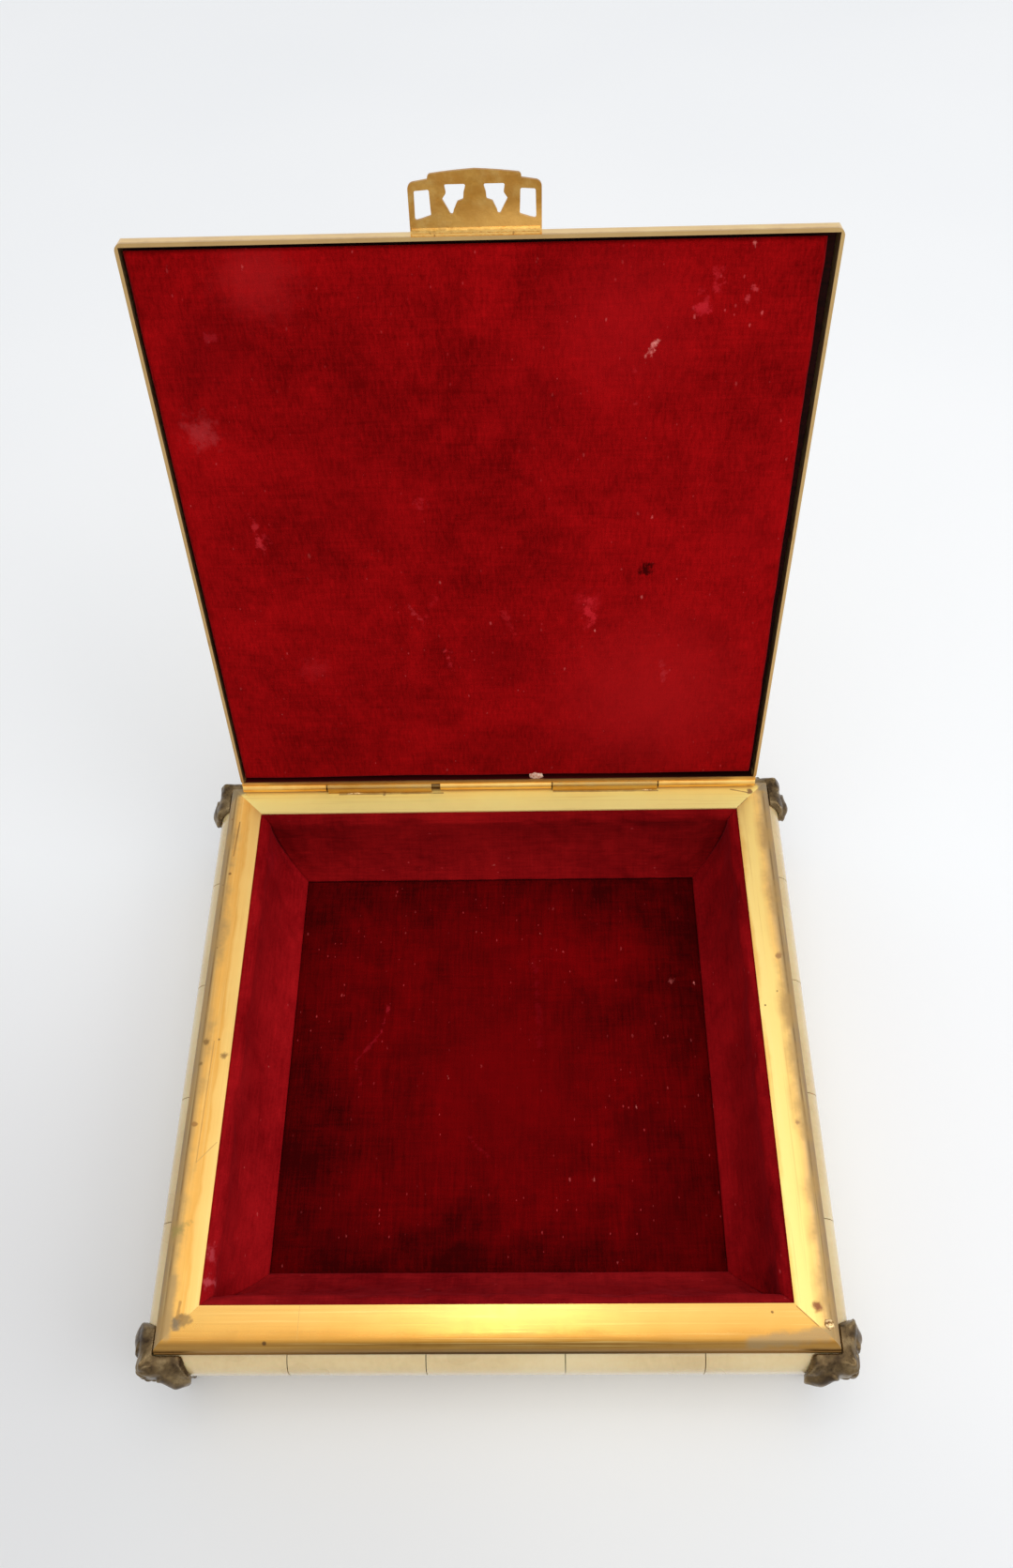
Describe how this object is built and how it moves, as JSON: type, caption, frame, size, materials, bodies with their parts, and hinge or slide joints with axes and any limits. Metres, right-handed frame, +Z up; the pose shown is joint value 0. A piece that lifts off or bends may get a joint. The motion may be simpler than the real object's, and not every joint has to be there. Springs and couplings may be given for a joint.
{
  "type": "jewelry casket",
  "caption": "Square velvet-lined jewelry casket with cream plaques in a brass frame, cast corner feet and a hinged lid with an openwork thumb tab, standing open.",
  "frame": {"origin": "on the table at the level of the feet's undersides, under the middle of the square body", "axes": "+X to the right seen from the front, +Y to the back where the lid is hinged, +Z up"},
  "size_m": [0.1668, 0.1952, 0.1935],
  "materials": {
    "brass": "polished on the flats, tarnished brown on the outer edges",
    "bronze": "dark antique patina",
    "plaques": "cream, satin",
    "wood": "plain",
    "velvet": "deep red pile"
  },
  "bodies": {
    "body": {"front_rail": "brass", "front_wall": "wood", "front_lining": "velvet", "front_plaque_1": "plaques", "front_plaque_2": "plaques", "front_plaque_3": "plaques", "front_plaque_4": "plaques", "front_plaque_5": "plaques", "right_rail": "brass", "right_wall": "wood", "right_lining": "velvet", "right_plaque_1": "plaques", "right_plaque_2": "plaques", "right_plaque_3": "plaques", "right_plaque_4": "plaques", "right_plaque_5": "plaques", "back_rail": "brass", "back_wall": "wood", "back_lining": "velvet", "back_plaque_1": "plaques", "back_plaque_2": "plaques", "back_plaque_3": "plaques", "back_plaque_4": "plaques", "back_plaque_5": "plaques", "left_rail": "brass", "left_wall": "wood", "left_lining": "velvet", "left_plaque_1": "plaques", "left_plaque_2": "plaques", "left_plaque_3": "plaques", "left_plaque_4": "plaques", "left_plaque_5": "plaques", "base_board": "wood", "floor_pad": "velvet", "corner_mount_front_right": "bronze", "corner_mount_front_left": "bronze", "corner_mount_back_right": "bronze", "corner_mount_back_left": "bronze", "hinge_body_leaf": "brass", "hinge_pin": "brass"},
    "lid": {"lid_front_rail": "brass", "lid_right_rail": "brass", "lid_back_rail": "brass", "lid_left_rail": "brass", "lid_board": "wood", "lid_plaque_1": "plaques", "lid_plaque_2": "plaques", "lid_plaque_3": "plaques", "lid_plaque_4": "plaques", "lid_plaque_5": "plaques", "lid_pad": "velvet", "thumb_tab": "brass", "hinge_lid_leaf": "brass"}
  },
  "joints": [
    {"name": "lid_hinge", "type": "hinge", "parent": "body", "child": "lid", "pos_m": [0, 0.0763, 0.03525], "axis": [1, 0, 0], "range_deg": [0, 102.3]}
  ]
}
